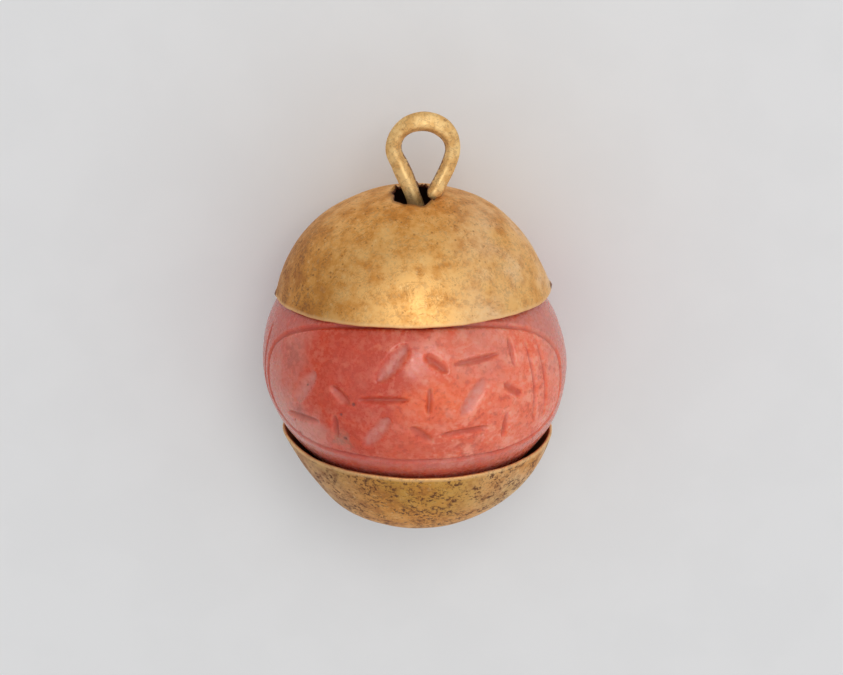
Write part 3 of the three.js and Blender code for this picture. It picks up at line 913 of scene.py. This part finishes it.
def wire_line(bead, upper, lower, upper_gap, lower_gap):
    """Points that the wire's middle line passes through, from its peened end to its tip."""
    on_lower_axis = [lower.seated(np.array([0, -level, 0])) for level in (
        lower.crown_level + WIRE_HEAD_SEAT_GAP, lower.crown_level - lower_gap / 2)]
    points = on_lower_axis + [
        np.array([0, -bead.half_length + lower_gap / 2, 0]),
        np.array([0, bead.half_length - upper_gap / 2, 0]),
    ]
    crown = upper.crown_level
    for side, rise, forward in zip(BOUND_LEG_SIDES, BOUND_LEG_RISES, BOUND_LEG_FORWARDS):
        points.append(np.array([side, crown + rise, forward]))
    for turn in np.linspace(LOOP_START_TURN, LOOP_END_TURN, LOOP_POINTS):
        points.append(np.array([LOOP_OFFSET + LOOP_HALF_WIDTH * math.cos(turn),
                                crown + LOOP_RISE + LOOP_HALF_HEIGHT * math.sin(turn), 0]))
    for side, rise, forward in zip(FREE_LEG_SIDES, FREE_LEG_RISES, FREE_LEG_FORWARDS):
        points.append(np.array([side, crown + rise, forward]))
    return resample(catmull_rom(points), WIRE_STEP)


def wire_radii(distance, shank):
    """Share of the full thickness at each distance along the wire, with a rounded tip."""
    past, share = np.transpose(HAMMERED_THICKNESS)
    reach = np.linspace(-past[-1], past[-1] * 1.5, THICKNESS_POINTS)
    stepped = np.interp(reach, past, share)
    softening = np.ones(THICKNESS_SOFTENING) / THICKNESS_SOFTENING
    softened = np.convolve(np.pad(stepped, THICKNESS_SOFTENING // 2, mode="edge"), softening, mode="valid")
    into_tip = np.clip(1 - (distance[-1] - distance) / WIRE_TIP_ROUNDING, 0, 1)
    return np.interp(distance - shank, reach, softened) * np.sqrt(1 - WIRE_TIP_DOMING * into_tip ** 2)


def wire_curve(name, points, radii):
    curve = bpy.data.curves.new(name, "CURVE")
    curve.dimensions = "3D"
    spline = curve.splines.new("POLY")
    spline.points.add(len(points) - 1)
    spline.points.foreach_set("co", np.c_[points, np.ones(len(points))].astype(np.float32).ravel())
    spline.points.foreach_set("radius", radii.astype(np.float32))
    return new_object(name, curve)


def head_mesh(wire, lower, bead):
    """Peened end: a low dome of metal spread over the lower cap's hole."""
    radius = wire_corner_reach(wire) + WIRE_HOLE_CLEARANCE + WIRE_HEAD_OVERLAP
    base = lower.crown_level + WIRE_HEAD_SEAT_GAP
    turn = np.linspace(-math.pi, math.pi, WIRE_HEAD_COLUMNS, endpoint=False)
    verts, faces = [], []
    for share, level in zip(WIRE_HEAD_RADII, WIRE_HEAD_LEVELS):
        wobble = 1 + 0.03 * np.sin(3 * turn) * (share > 0) + 0.02 * np.sin(7 * turn)
        ring = np.stack([radius * share * wobble * np.sin(turn),
                         np.full(len(turn), -base - WIRE_HEAD_THICKNESS * level),
                         radius * share * wobble * np.cos(turn)], -1)
        verts.append(lower.seated(ring) + np.array([0, 0, centre_height(bead)]))
    count = len(turn)
    verts = np.concatenate([verts[0][:1], *verts[1:-1], verts[-1][:1]])
    rings = len(WIRE_HEAD_RADII) - 2
    last = 1 + rings * count
    for k in range(count):
        after = (k + 1) % count
        faces.append((0, 1 + k, 1 + after))
        for ring in range(rings - 1):
            low, high = 1 + ring * count, 1 + (ring + 1) * count
            faces.append((low + k, high + k, high + after, low + after))
        faces.append((last, 1 + (rings - 1) * count + after, 1 + (rings - 1) * count + k))
    mesh = bpy.data.meshes.new("peened_end")
    mesh.from_pydata(verts.tolist(), [], faces)
    mesh.polygons.foreach_set("use_smooth", np.ones(len(faces), bool))
    return mesh


# Materials

class Recipe(NodeBuilder):
    """A material whose nodes are added one call at a time. Sizes are in metres of the object's own space."""

    def __init__(self, name):
        self.material = bpy.data.materials.new(name)
        self.material.use_nodes = True
        super().__init__(self.material.node_tree)
        self.tree.nodes.clear()
        self.shader = self.add("ShaderNodeBsdfPrincipled")
        self.add("ShaderNodeOutputMaterial", {"Surface": self.shader.outputs[0]})
        self.place = self.add("ShaderNodeTexCoord").outputs["Object"]
        self.side, self.along, self.up = self.add("ShaderNodeSeparateXYZ", {0: self.place}).outputs

    def set(self, **values):
        """Sets the shader's own sockets, named with underscores for spaces."""
        for name, value in values.items():
            self.put(self.shader.inputs[name.replace("_", " ")], value)
        return self.material

    def noise(self, size, detail=2.0, roughness=0.5, distortion=0.0):
        return self.add("ShaderNodeTexNoise", {
            "Vector": self.place, "Scale": 1 / size, "Detail": detail, "Roughness": roughness,
            "Distortion": distortion}).outputs["Fac"]

    def most(self, *values):
        result = values[0]
        for value in values[1:]:
            result = self.maths("MAXIMUM", result, value)
        return result

    def attribute(self, name):
        return self.add("ShaderNodeAttribute", attribute_name=name).outputs["Fac"]

    def patch(self, middle, radius, fade, ragged=None):
        """Soft round area about a point, with its edge moved by a ragged value."""
        gap = self.add("ShaderNodeVectorMath", {0: self.place, 1: middle}, operation="DISTANCE")
        distance = gap.outputs["Value"]
        if ragged is not None:
            distance = self.maths("ADD", distance, self.span(ragged, 0.3, 0.7, -fade * 0.6, fade * 0.6))
        return self.span(distance, radius - fade, radius + fade, 1.0, 0.0)

    def patch_along(self, value, middle, half_width, ragged):
        """Soft band of a value about a middle, with its edge moved by a ragged value."""
        off = self.maths("ABSOLUTE", self.maths("SUBTRACT", value, middle))
        moved = self.maths("ADD", off, self.span(ragged, 0.3, 0.7, -0.4 * half_width, 0.4 * half_width))
        return self.span(moved, 0.6 * half_width, half_width, 1.0, 0.0)

    def veins(self, size, width, detail, distortion=0.0):
        """Thin wandering lines where a noise passes its middle."""
        noise = self.noise(size, detail, 0.6, distortion)
        return self.span(self.maths("ABSOLUTE", self.maths("SUBTRACT", noise, 0.5)), 0.0, width, 1.0, 0.0)

    def specks(self, size, share, reach):
        """Round specks in some of the cells of a given size."""
        cells = self.add("ShaderNodeTexVoronoi", {"Vector": self.place, "Scale": 1 / size})
        chosen = self.add("ShaderNodeSeparateColor", {"Color": cells.outputs["Color"]}).outputs[0]
        spot = self.span(cells.outputs["Distance"], reach * 0.5, reach, 1.0, 0.0)
        return self.times(spot, self.span(chosen, 1 - share, 1 - share + 0.05))

    def bump(self, height, strength, distance, below=None):
        inputs = {"Height": height, "Strength": strength, "Distance": distance}
        if below is not None:
            inputs["Normal"] = below
        return self.add("ShaderNodeBump", inputs).outputs[0]


def sheet_gold(sheet, middle):
    """Aged sheet gold: warm ochre, matte, with brown specks and fine cracks, painted shade on the left and
    deep inside, a painted sheen on the right, a painted highlight along the rim and a painted reflection on
    the inner wall.
    """
    r = Recipe("aged_sheet_gold")
    broad = r.noise(5.5 * MM, 3.0)
    clouds = r.noise(1.1 * MM, 6.0, 0.68)
    grain = r.noise(0.26 * MM, 4.0, 0.7)
    dust = r.noise(0.14 * MM, 2.0, 0.7)
    # Mask of duller, darker ochre towards the left, on the lower cap and at the crown: partly denser
    # tarnish, partly painted shade.
    left = r.span(r.side, -8.5 * MM, -2 * MM, 1.0, 0.0)
    low = r.span(r.along, 0.0, -4 * MM)
    crown = r.span(r.along, 7.5 * MM, 10.5 * MM)
    dull_and_shaded = r.most(left, r.times(low, 0.8), r.times(crown, 0.45))

    colour = r.blend(sheet.gold, sheet.ochre, r.span(r.maths("ADD", clouds, r.times(dull_and_shaded, 0.4)), 0.4, 0.8))
    # Paler rosy gold towards the right: a painted sheen where the light falls from the right.
    right = r.span(r.side, 1 * MM, 8 * MM)
    rosy_sheen = r.times(right, r.span(broad, 0.36, 0.56), r.span(grain, 0.3, 0.6, 0.6, 1.0))
    colour = r.blend(colour, ROSY_SHEEN_GOLD, rosy_sheen, 0.9)
    bright = r.span(grain, 0.52, 0.7)
    colour = r.blend(colour, BRIGHT_GRAIN, bright, r.span(dull_and_shaded, 0.0, 1.0, 0.35, 0.6))
    colour = r.blend(colour, YELLOW_OCHRE, low, r.span(broad, 0.4, 0.6), 0.6)
    # Greyish gold at the lower left: partly dust, partly a painted reflection of the shaded floor.
    greyish = r.times(low, r.span(r.side, -1 * MM, -6 * MM), r.span(clouds, 0.35, 0.6, 0.5, 1.0))
    colour = r.blend(colour, GREYISH_GOLD, greyish, 0.7)
    shaded = r.times(r.span(r.side, -3.5 * MM, -8.5 * MM), r.span(clouds, 0.3, 0.6, 0.4, 1.0))
    colour = r.blend(colour, SHADED_GOLD, shaded, r.span(low, 0.0, 1.0, 0.65, 0.0))

    reddish = r.times(r.span(clouds, 0.46, 0.66), r.span(dull_and_shaded, 0.2, 1.0, 0.2, 0.85))
    colour = r.blend(colour, REDDISH_BROWN, reddish, r.span(grain, 0.35, 0.6, 0.5, 1.0))
    fine = r.times(r.span(dust, 0.53, 0.64), r.span(r.noise(0.7 * MM, 3.0), 0.42, 0.6))
    fine = r.times(fine, r.span(dull_and_shaded, 0.0, 1.0, 0.3, 0.7))
    cracks = r.times(r.veins(1.2 * MM, 0.014, 7.0, 0.8), r.span(r.noise(1.9 * MM, 3.0), 0.46, 0.56), 0.4)
    specks = r.times(r.specks(0.36 * MM, 0.3, 0.27), r.span(dull_and_shaded, 0.0, 1.0, 0.4, 1.0))
    spots = r.times(r.specks(1.7 * MM, 0.14, 0.11), 0.9)
    heavy = r.most(r.span(dull_and_shaded, 0.5, 1.0, 0.25, 0.75), low)
    crust = r.times(r.span(grain, 0.5, 0.58), r.span(r.noise(1.2 * MM, 3.0), 0.44, 0.56), heavy)
    marks = r.most(fine, cracks, specks, spots, crust)
    colour = r.blend(colour, sheet.tarnish, marks, 0.9)
    colour = r.blend(colour, DARK_CRUST, crust, low, 0.6)

    from_rim = r.attribute("from_rim")
    # Paler gold along the rim's edge: a painted highlight.
    colour = r.blend(colour, RIM_EDGE_HIGHLIGHT, r.span(from_rim, 0.0, 0.2, 1.0, 0.0), 0.6)
    wall_side = r.attribute("inside")
    torn = r.times(r.span(r.attribute("from_hole"), 0.05, 0.3, 1.0, 0.0), r.span(r.along, 0.0, 5 * MM))
    colour = r.blend(colour, TORN_EDGE, torn, r.span(wall_side, 0.0, 0.4, 0.5, 1.0))
    burrs = [r.patch((x, y, z + middle), reach, BURR_FADE) for (x, y, z), reach in BURR_TIPS]
    colour = r.blend(colour, BURR_MAROON, r.most(*burrs), 0.85)
    # Duller orange-brown, less metallic, on the inner face: painted shade between cap and bead with a
    # painted reddish glow from the bead.
    inside = r.span(wall_side, 0.55, 0.95)
    colour = r.blend(colour, INNER_WALL_SHADE_AND_GLOW, inside)
    # Nearly black further in from the rim: painted shade inside the cap.
    colour = r.blend(colour, DEEP_INSIDE_SHADE, inside, r.span(from_rim, 0.6, 3.0), 0.95)

    rough = r.span(r.maths("ADD", clouds, r.times(marks, 0.4)), 0.3, 0.9, 0.5, 0.68)
    surface = r.bump(grain, 0.35, 0.03 * MM)
    surface = r.bump(r.maths("SUBTRACT", 1.0, marks), 0.35, 0.02 * MM, surface)
    metal = r.times(r.span(marks, 0.3, 1.0, 1.0, 0.7), r.span(inside, 0.0, 1.0, 1.0, 0.3))
    return r.set(Base_Color=colour, Metallic=metal, Roughness=rough, Normal=surface)


def wire_gold(wire):
    """Gold wire: ochre and matte, with brown in its hollows and on its inner edge."""
    r = Recipe("worn_wire_gold")
    clouds = r.noise(0.9 * MM, 4.0, 0.6)
    grain = r.noise(0.18 * MM, 3.0, 0.6)
    colour = r.blend(wire.gold, WIRE_OCHRE, r.span(clouds, 0.4, 0.62))
    inner = r.patch_along(r.attribute("section_bearing"), WIRE_INNER_BEARING, 0.55, grain)
    marks = r.most(r.times(r.span(grain, 0.54, 0.68), r.span(clouds, 0.45, 0.6), 0.6),
                   r.times(r.veins(0.7 * MM, 0.03, 4.0), 0.35), r.times(inner, 0.9))
    colour = r.blend(colour, wire.hollow, marks)
    surface = r.bump(clouds, 0.25, 0.06 * MM, r.bump(grain, 0.25, 0.02 * MM))
    rough = r.span(clouds, 0.3, 0.7, 0.45, 0.58)
    return r.set(Base_Color=colour, Metallic=0.55, Roughness=rough, Normal=surface)


def waxy_carnelian(bead):
    """Cloudy carnelian: deep red where it is clear, salmon and milky where it is weathered, with painted
    shade to the left, painted light to the right, a painted orange glow and painted shade in the cut lines.
    """
    r = Recipe("waxy_carnelian")
    middle = centre_height(bead)

    def patch(x, y, z, radius, fade, ragged):
        """Soft round area about a place in millimetres from the middle of the bead."""
        return r.patch((x * MM, y * MM, z * MM + middle), radius * MM, fade * MM, ragged)

    broad = r.noise(4.5 * MM, 3.0)
    clouds = r.noise(1.6 * MM, 4.0, 0.6)
    blotches = r.noise(0.85 * MM, 4.0, 0.6)
    mottle = r.noise(0.34 * MM, 4.0, 0.65)
    # Deep red towards the left and in a patch at the upper left, salmon towards the right: partly the
    # stone's own colour, partly painted shade on the left and painted light on the right.
    wander = r.span(broad, 0.3, 0.7, -2 * MM, 2 * MM)
    right = r.span(r.maths("ADD", r.side, wander), -3.5 * MM, 4 * MM)
    colour = r.blend(bead.deep_red, bead.salmon, right)
    colour = r.blend(colour, bead.deep_red, patch(-3.4, 2.6, 8.3, 3.6, 2.2, clouds), 0.85)
    # Orange patch just right of the front middle: a painted glow of light through the stone.
    colour = r.blend(colour, PAINTED_ORANGE_GLOW, patch(1.6, 0.2, 9.4, 2.0, 1.6, clouds), 0.75)
    colour = r.blend(colour, LOWER_RED, patch(1.5, -3.6, 8.6, 3.4, 2.0, clouds), 0.75)
    colour = r.blend(colour, CLEAR_BLOTCH, r.span(blotches, 0.5, 0.36), r.span(right, 0.2, 1.0, 0.2, 0.75))
    colour = r.blend(colour, PALE_BLOTCH, r.span(blotches, 0.5, 0.64), r.span(right, 0.2, 1.0, 0.2, 0.7))
    pale = r.times(r.span(mottle, 0.5, 0.64), r.span(clouds, 0.38, 0.6))
    colour = r.blend(colour, PALE_MOTTLE, pale, r.span(right, 0.0, 1.0, 0.25, 0.7))
    dark = r.times(r.span(mottle, 0.5, 0.36), r.span(clouds, 0.58, 0.42))
    colour = r.blend(colour, DARK_MOTTLE, dark, 0.6)
    flecks = r.times(r.specks(0.42 * MM, 0.5, 0.3), r.span(clouds, 0.35, 0.6))
    colour = r.blend(colour, PINK_FLECK, flecks, r.span(right, 0.0, 1.0, 0.25, 0.8), 0.6)

    hazes = [r.times(r.patch((x, y, z + middle), radius, fade, clouds), strength)
             for (x, y, z), radius, fade, strength in HAZES]
    under = r.times(r.span(r.up, middle + 1 * MM, middle - 3 * MM), r.span(broad, 0.42, 0.6), 0.5)
    colour = r.blend(colour, bead.haze, r.most(*hazes, under))
    beyond = r.times(r.attribute("beyond_frame"), r.span(blotches, 0.3, 0.7, 0.55, 1.0))
    colour = r.blend(colour, DULL_MAUVE, beyond, 0.6)
    smudge = r.most(patch(-7.4, 2.1, 5.4, 0.5, 0.6, mottle), patch(-7.0, -1.3, 6.1, 0.5, 0.5, mottle))
    colour = r.blend(colour, DARK_SMUDGE, smudge, 0.6)
    colour = r.blend(colour, BROWN_SOIL, patch(-4.5, -2.5, 7.8, 0.5, 0.45, mottle), 0.6)

    engraved = r.most(r.attribute("frame_line"), r.attribute("cut_stroke"))
    # Darker red in the engraved lines and strokes: partly deposit, partly painted shade in the grooves.
    colour = r.blend(colour, CUT_RED_AND_SHADE, r.span(engraved, 0.15, 0.8), 0.4)
    milky = r.times(r.span(r.attribute("milky_fill"), 0.1, 1.0), r.span(mottle, 0.3, 0.6, 0.3, 1.0))
    colour = r.blend(colour, MILKY_PINK, milky, 0.8)
    pits = r.most(r.attribute("clear_pit"), r.times(r.attribute("small_pit"), 0.5))
    colour = r.blend(colour, PIT_BROWN, r.span(pits, 0.2, 0.8), 0.75)

    rough = r.span(r.maths("ADD", mottle, r.times(engraved, 0.25)), 0.35, 0.85, 0.22, 0.48)
    surface = r.bump(blotches, 0.25, 0.05 * MM)
    surface = r.bump(mottle, 0.14, 0.03 * MM, surface)
    chatter = r.noise(0.12 * MM, 2.0)
    surface = r.bump(r.times(chatter, r.span(engraved, 0.1, 0.7)), 0.35, 0.04 * MM, surface)
    return r.set(Base_Color=colour, Roughness=rough, Normal=surface, IOR=1.54, Subsurface_Weight=0.75,
                 Subsurface_Radius=(1.0, 0.25, 0.12), Subsurface_Scale=0.7 * MM)


def pale_paper(stage):
    """Plain pale floor with a trace of tooth."""
    r = Recipe("pale_paper")
    tooth = r.noise(FLOOR_TOOTH, 4.0)
    colour = r.blend(stage.floor, tuple(0.985 * c for c in stage.floor), r.span(tooth, 0.4, 0.6))
    return r.set(Base_Color=colour, Roughness=0.9, Specular_IOR_Level=0.2)


# Stage

def view_axes():
    """Directions right, up and back of the camera, as it looks down on the lying bead."""
    sin, cos = math.sin(CAMERA_TILT), math.cos(CAMERA_TILT)
    return Vector((1, 0, 0)), Vector((0, cos, -sin)), Vector((0, sin, cos))


def add_camera(middle):
    right, up, back = view_axes()
    aim = middle + AIM_RIGHT * right + AIM_UP * up
    camera = new_object("camera", bpy.data.cameras.new("camera"))
    camera.data.sensor_width = SENSOR_WIDTH
    camera.data.lens = SENSOR_WIDTH * CAMERA_DISTANCE * PIXELS_PER_METRE / PICTURE_WIDTH
    camera.data.clip_start = NEAREST_SEEN
    camera.data.clip_end = FARTHEST_SEEN
    turn = Matrix((right, up, back)).transposed().to_4x4()
    camera.matrix_world = Matrix.Translation(aim + CAMERA_DISTANCE * back) @ turn
    bpy.context.scene.camera = camera


def add_key_light(middle, power):
    """Round soft light that faces the bead."""
    light = bpy.data.lights.new("key_light", "AREA")
    light.shape = "DISK"
    light.size = KEY_WIDTH
    light.energy = power
    light.color = KEY_COLOUR
    away = Vector(KEY_DIRECTION).normalized()
    turn = (-away).to_track_quat("-Z", "Y").to_matrix().to_4x4()
    new_object("key_light", light).matrix_world = Matrix.Translation(middle + away * KEY_DISTANCE) @ turn


def add_floor(stage):
    half = FLOOR_HALF_WIDTH
    corners = [(-half, -half, 0), (half, -half, 0), (half, half, 0), (-half, half, 0)]
    mesh = bpy.data.meshes.new("floor")
    mesh.from_pydata(corners, [], [(0, 1, 2, 3)])
    mesh.materials.append(pale_paper(stage))
    new_object("floor", mesh)


def add_world(stage):
    """Pale room: bright overhead and on the right, dimmer towards the horizon on the left."""
    world = bpy.data.worlds.new("pale_room")
    world.use_nodes = True
    room = NodeBuilder(world.node_tree)
    direction = room.add("ShaderNodeTexCoord").outputs["Generated"]
    across, _, height = room.add("ShaderNodeSeparateXYZ", {0: direction}).outputs
    dim = tuple(ROOM_DIM_SIDE * c for c in ROOM_TINT)
    horizon = room.blend(dim, ROOM_TINT, room.span(across, -0.6, 0.8))
    background = room.tree.nodes["Background"]
    room.put(background.inputs["Color"], room.blend(horizon, ROOM_TINT, room.span(height, 0.1, 0.8)))
    room.put(background.inputs["Strength"], stage.fill)
    bpy.context.scene.world = world


# Operators

class PENDANT_OT_stage(bpy.types.Operator):
    """Set up the pale floor, the soft light and the camera"""
    bl_idname = "pendant.stage"
    bl_label = "Stage"

    def execute(self, context):
        stage = context.scene.pendant_stage
        middle = Vector((0, 0, centre_height(context.scene.pendant_bead)))
        context.scene.view_settings.view_transform = "Standard"
        add_floor(stage)
        add_world(stage)
        add_key_light(middle, stage.key_power)
        add_camera(middle)
        return {"FINISHED"}


class PENDANT_OT_bead(bpy.types.Operator):
    """Make the engraved carnelian bead"""
    bl_idname = "pendant.bead"
    bl_label = "Bead"

    def execute(self, context):
        bead = context.scene.pendant_bead
        bore = wire_corner_reach(context.scene.pendant_wire) + BORE_CLEARANCE
        raw = new_object("carnelian_bead_raw", bead_mesh(bead, bore))
        piece = made_by_tree(raw, "carnelian_bead", pitted_stone_tree(), {
            "Pit density": bead.pit_density,
            "Pit radius": bead.pit_radius,
            "Pit depth": bead.pit_depth,
            "Seed": bead.seed,
            "Material": waxy_carnelian(bead),
        })
        joined_frame(piece, "bead")
        return {"FINISHED"}


class PENDANT_OT_caps(bpy.types.Operator):
    """Make the two bowl-shaped caps of sheet gold"""
    bl_idname = "pendant.caps"
    bl_label = "Caps"

    def execute(self, context):
        scene = context.scene
        upper = Bowl(scene.pendant_upper_cap, scene.pendant_bead, scene.pendant_sheet, 1)
        lower = Bowl(scene.pendant_lower_cap, scene.pendant_bead, scene.pendant_sheet, -1)
        wire_hole = wire_corner_reach(scene.pendant_wire) + WIRE_HOLE_CLEARANCE
        add_cap(context, "upper_gold_cap", "upper_cap", upper, hole_reach=torn_hole_reach,
                rim_dip=drooping_rim, swellings=UPPER_SWELLINGS, tongues=TONGUES)
        add_cap(context, "lower_gold_cap", "lower_cap", lower,
                hole_reach=lambda direction: np.full(len(direction), wire_hole),
                rim_dip=dipping_rim, swellings=LOWER_SWELLINGS, tongues=[])
        return {"FINISHED"}


class PENDANT_OT_wire(bpy.types.Operator):
    """Make the gold wire with its suspension loop and its peened end"""
    bl_idname = "pendant.wire"
    bl_label = "Wire"

    def execute(self, context):
        scene = context.scene
        bead, wire = scene.pendant_bead, scene.pendant_wire
        upper = Bowl(scene.pendant_upper_cap, bead, scene.pendant_sheet, 1)
        lower = Bowl(scene.pendant_lower_cap, bead, scene.pendant_sheet, -1)
        points, distance = wire_line(bead, upper, lower, scene.pendant_upper_cap.crown_gap,
                                     scene.pendant_lower_cap.crown_gap)
        shank = lower.crown_level + upper.crown_level + BOUND_LEG_RISES[0]
        points = points + np.array([0, 0, centre_height(bead)])
        material = wire_gold(wire)
        line = wire_curve("wire_line", points, wire_radii(distance, shank))
        piece = made_by_tree(line, "looped_gold_wire", hammered_wire_tree(), {
            "Thickness": wire.thickness,
            "Corner share": WIRE_CORNER_SHARE,
            "Edge turn": -WIRE_EDGE_TURN - math.pi / 4,
            "Hammer size": wire.hammer_size,
            "Hammer depth": wire.hammer_depth,
            "Seed": float(wire.seed),
            "Material": material,
        })
        head = new_object("peened_end", head_mesh(wire, lower, bead))
        head.data.materials.append(material)
        with context.temp_override(active_object=piece, selected_editable_objects=[piece, head]):
            bpy.ops.object.join()
        joined_frame(piece, "suspension_wire")
        return {"FINISHED"}


class PENDANT_PT_panel(bpy.types.Panel):
    """Lists the pendant's pieces and their settings"""
    bl_idname = "PENDANT_PT_panel"
    bl_label = "Bead pendant"
    bl_space_type = "VIEW_3D"
    bl_region_type = "UI"
    bl_category = "Pendant"

    def draw(self, context):
        for operator in OPERATORS:
            self.layout.operator(operator.bl_idname)
        for name in SETTINGS:
            box = self.layout.box()
            group = getattr(context.scene, name)
            for field in group.__annotations__:
                box.prop(group, field)


SETTINGS = {
    "pendant_stage": StageSettings,
    "pendant_bead": BeadSettings,
    "pendant_upper_cap": UpperCapSettings,
    "pendant_lower_cap": LowerCapSettings,
    "pendant_sheet": SheetSettings,
    "pendant_wire": WireSettings,
}
OPERATORS = [PENDANT_OT_stage, PENDANT_OT_bead, PENDANT_OT_caps, PENDANT_OT_wire]


def register():
    for group in [*SETTINGS.values(), *OPERATORS, PENDANT_PT_panel]:
        bpy.utils.register_class(group)
    for name, group in SETTINGS.items():
        setattr(bpy.types.Scene, name, PointerProperty(type=group))


def unregister():
    for name in SETTINGS:
        delattr(bpy.types.Scene, name)
    for group in reversed([*SETTINGS.values(), *OPERATORS, PENDANT_PT_panel]):
        bpy.utils.unregister_class(group)


def main():
    register()
    bpy.ops.pendant.stage()
    bpy.ops.pendant.bead()
    bpy.ops.pendant.caps()
    bpy.ops.pendant.wire()


if __name__ == "__main__":
    main()
